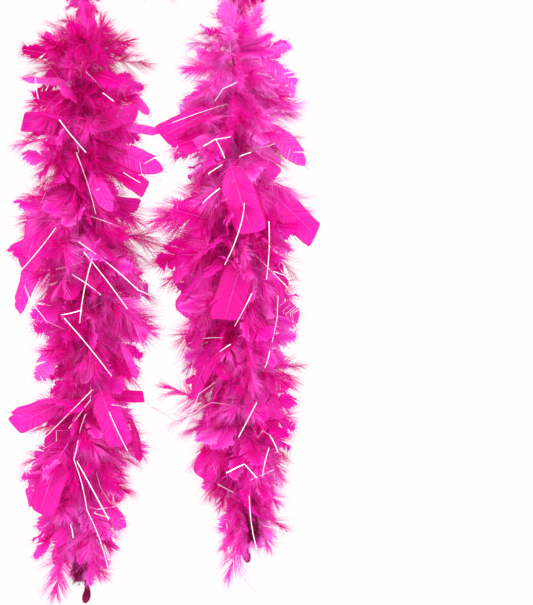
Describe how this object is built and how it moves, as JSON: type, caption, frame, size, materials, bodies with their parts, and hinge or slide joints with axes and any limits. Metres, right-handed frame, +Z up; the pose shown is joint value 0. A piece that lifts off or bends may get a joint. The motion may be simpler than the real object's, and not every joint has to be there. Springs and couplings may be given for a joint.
{
  "type": "feather boa",
  "caption": "Fluffy feather boa with tinsel on a limp twisted cord, draped over the back of a neck, with a tail hanging down each side.",
  "frame": {"origin": "on the axis of the wearer's neck, level with the core cord at the nape", "axes": "+Z up along the wearer's neck, -Y the way the wearer faces, +X to the right of somebody who looks at the wearer; the tails hang down -Z"},
  "size_m": [0.3598, 0.3332, 0.8953],
  "materials": {
    "plume_down": "soft hot-pink marabou and turkey down, fluffy, with lighter barb tips",
    "vane": "smooth hot-pink flat feather vane, satin, with a paler shaft and fine barbs",
    "core_cord": "dark crimson twisted cotton cord, matt and fuzzy",
    "whipping_thread": "dark crimson wound thread, matt",
    "tinsel_film": "bright silver metallised film, slightly creased"
  },
  "bodies": {
    "neck": {"core_cord_neck": "core_cord", "plumes_neck_1": "plume_down", "plumes_neck_2": "plume_down", "plumes_neck_3": "plume_down", "plumes_neck_4": "plume_down", "plumes_neck_5": "plume_down", "tinsel_neck": "tinsel_film", "vaned_feathers_neck_1": "vane", "vaned_feathers_neck_2": "vane"},
    "left_tail": {"core_cord_left": "core_cord", "end_knot_left": "core_cord", "end_whipping_left": "whipping_thread", "plumes_left_1": "plume_down", "plumes_left_2": "plume_down", "plumes_left_3": "plume_down", "plumes_left_4": "plume_down", "plumes_left_5": "plume_down", "plumes_left_6": "plume_down", "plumes_left_7": "plume_down", "stopper_knot_left": "core_cord", "tinsel_left_1": "tinsel_film", "tinsel_left_2": "tinsel_film", "tinsel_left_3": "tinsel_film", "tinsel_left_4": "tinsel_film", "vaned_feathers_left_1": "vane", "vaned_feathers_left_2": "vane", "vaned_feathers_left_3": "vane"},
    "right_tail": {"core_cord_right": "core_cord", "end_knot_right": "core_cord", "end_whipping_right": "whipping_thread", "plumes_right_1": "plume_down", "plumes_right_2": "plume_down", "plumes_right_3": "plume_down", "plumes_right_4": "plume_down", "plumes_right_5": "plume_down", "plumes_right_6": "plume_down", "plumes_right_7": "plume_down", "stopper_knot_right": "core_cord", "tinsel_right_1": "tinsel_film", "tinsel_right_2": "tinsel_film", "tinsel_right_3": "tinsel_film", "tinsel_right_4": "tinsel_film", "vaned_feathers_right_1": "vane", "vaned_feathers_right_2": "vane", "vaned_feathers_right_3": "vane"}
  },
  "joints": [
    {"name": "left_tail_swing", "type": "hinge", "parent": "neck", "child": "left_tail", "pos_m": [-0.091, -0.079, -0.122], "axis": [-1, 0, 0], "range_deg": [-8, 55]},
    {"name": "right_tail_swing", "type": "hinge", "parent": "neck", "child": "right_tail", "pos_m": [0.09, -0.08, -0.126], "axis": [-1, 0, 0], "range_deg": [-8, 55]}
  ]
}
